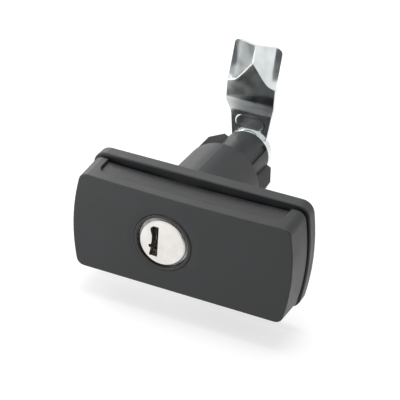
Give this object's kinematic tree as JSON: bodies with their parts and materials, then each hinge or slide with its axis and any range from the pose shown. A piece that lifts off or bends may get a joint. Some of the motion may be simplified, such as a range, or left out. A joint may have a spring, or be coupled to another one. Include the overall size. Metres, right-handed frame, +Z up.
{
  "type": "handle lock with pushbutton cylinder",
  "caption": "Turning handle lock with a key cylinder that pushes in to lock, a round housing through the door, and a cranked cam on a quarter-turn spindle.",
  "frame": {"origin": "on the lock axis at the flange's back face, which lies against the door's front", "axes": "+Y backwards along the lock axis through the door, +X along the handle's length, +Z up along the cam"},
  "size_m": [0.0778, 0.0793, 0.0601],
  "materials": {
    "grip_plastic": "fine matt texture",
    "body_plastic": "fine matt texture",
    "bezel_plastic": "satin",
    "glide_plastic": "smooth, self-lubricating",
    "seal_rubber": "matt",
    "nickel": "satin nickel plate",
    "zinc_steel": "bright blue zinc plate",
    "cast_zinc": "as cast",
    "hard_steel": "ground",
    "spring_steel": "drawn wire",
    "brass": "turned"
  },
  "bodies": {
    "lock_body": {"lock_body": "body_plastic", "panel_seal": "seal_rubber", "mounting_inserts": "brass"},
    "handle": {"grip": "grip_plastic", "bezel": "bezel_plastic", "spindle": "cast_zinc", "grip_screws": "zinc_steel", "glide_washer": "glide_plastic", "spindle_seal": "seal_rubber", "detent_ball": "hard_steel", "detent_spring": "spring_steel", "stop_washer": "zinc_steel", "cam": "zinc_steel", "spring_washer": "zinc_steel", "cam_screw": "zinc_steel"},
    "button": {"button_barrel": "cast_zinc", "locking_pin": "hard_steel", "return_spring": "spring_steel", "plug_pin": "hard_steel", "snap_bolt_spring": "spring_steel"},
    "plug": {"key_plug": "cast_zinc", "face_cap": "nickel", "wafers": "brass", "wafer_springs": "spring_steel"},
    "snap_bolt": {"snap_bolt": "cast_zinc"}
  },
  "joints": [
    {"name": "handle_turn", "type": "hinge", "parent": "lock_body", "child": "handle", "pos_m": [0, 0, 0], "axis": [0, 1, 0], "range_deg": [0, 90]},
    {"name": "button_press", "type": "slide", "parent": "handle", "child": "button", "axis": [0, 1, 0], "range_m": [0, 0.004], "stiffness_N_per_m": 600, "springref_m": -0.003, "deforming": ["return_spring"]},
    {"name": "key_turn", "type": "hinge", "parent": "button", "child": "plug", "pos_m": [0, 0, 0], "axis": [0, 1, 0], "range_deg": [0, 90]},
    {"name": "bolt_draw", "type": "slide", "parent": "button", "child": "snap_bolt", "axis": [0, 0, 1], "range_m": [0, 0.0012], "deforming": ["snap_bolt_spring"]}
  ],
  "couplings": [
    {"joint": "key_turn", "follows": "bolt_draw", "rad_per_m": 1309}
  ]
}
